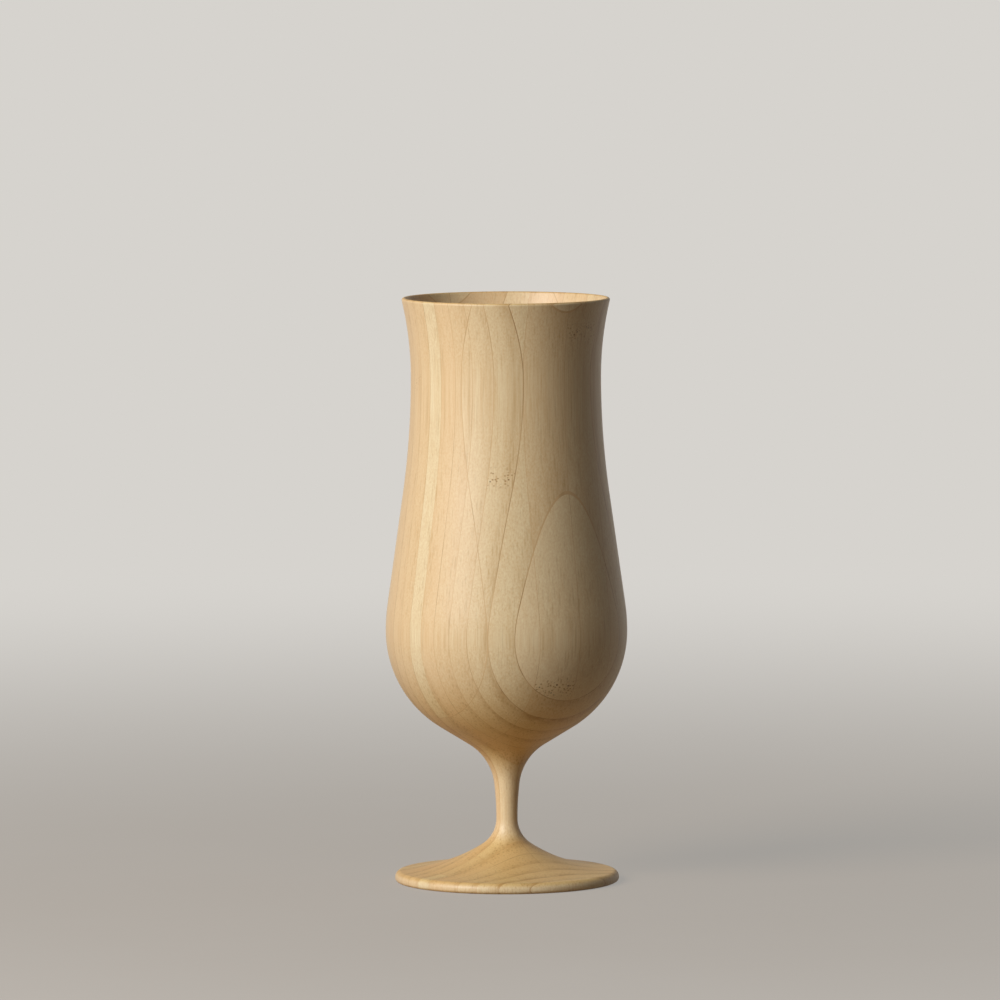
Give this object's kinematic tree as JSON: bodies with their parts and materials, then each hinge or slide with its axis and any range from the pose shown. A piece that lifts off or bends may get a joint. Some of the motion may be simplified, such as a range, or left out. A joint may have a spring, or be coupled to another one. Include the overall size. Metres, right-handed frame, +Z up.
{
  "type": "stemmed drinking cup",
  "caption": "Footed drinking cup turned from laminated bamboo strips: wide round foot, short thin stem and a tall bowl with a swelling belly, a narrow waist and a flared lip.",
  "frame": {"origin": "middle of the flat underside of the foot, where the cup stands on the table", "axes": "+Z up along the axis of the turned form, -Y towards the picture's camera, +X to the right"},
  "size_m": [0.0784, 0.0784, 0.19],
  "materials": {
    "bamboo": "satin, finely sanded laminated bamboo with upright fibres",
    "glue": "dark brown resin film in the joints"
  },
  "bodies": {
    "root": {"bowl_layer_1": "bamboo", "bowl_layer_2": "bamboo", "bowl_layer_3": "bamboo", "bowl_layer_4": "bamboo", "bowl_layer_5": "bamboo", "bowl_layer_6": "bamboo", "bowl_layer_7": "bamboo", "bowl_layer_8": "bamboo", "bowl_layer_9": "bamboo", "bowl_layer_10": "bamboo", "bowl_layer_11": "bamboo", "bowl_layer_12": "bamboo", "bowl_layer_13": "bamboo", "bowl_layer_14": "bamboo", "bowl_layer_15": "bamboo", "foot_layer_1": "bamboo", "foot_layer_2": "bamboo", "foot_layer_3": "bamboo", "foot_layer_4": "bamboo", "foot_layer_5": "bamboo", "foot_layer_6": "bamboo", "foot_layer_7": "bamboo", "foot_layer_8": "bamboo", "foot_layer_9": "bamboo", "foot_layer_10": "bamboo", "foot_layer_11": "bamboo", "foot_layer_12": "bamboo", "foot_layer_13": "bamboo", "foot_layer_14": "bamboo", "stem_strip_1": "bamboo", "stem_strip_2": "bamboo", "stem_strip_3": "bamboo", "stem_strip_4": "bamboo", "layer_glue": "glue", "strip_glue": "glue"}
  },
  "joints": []
}
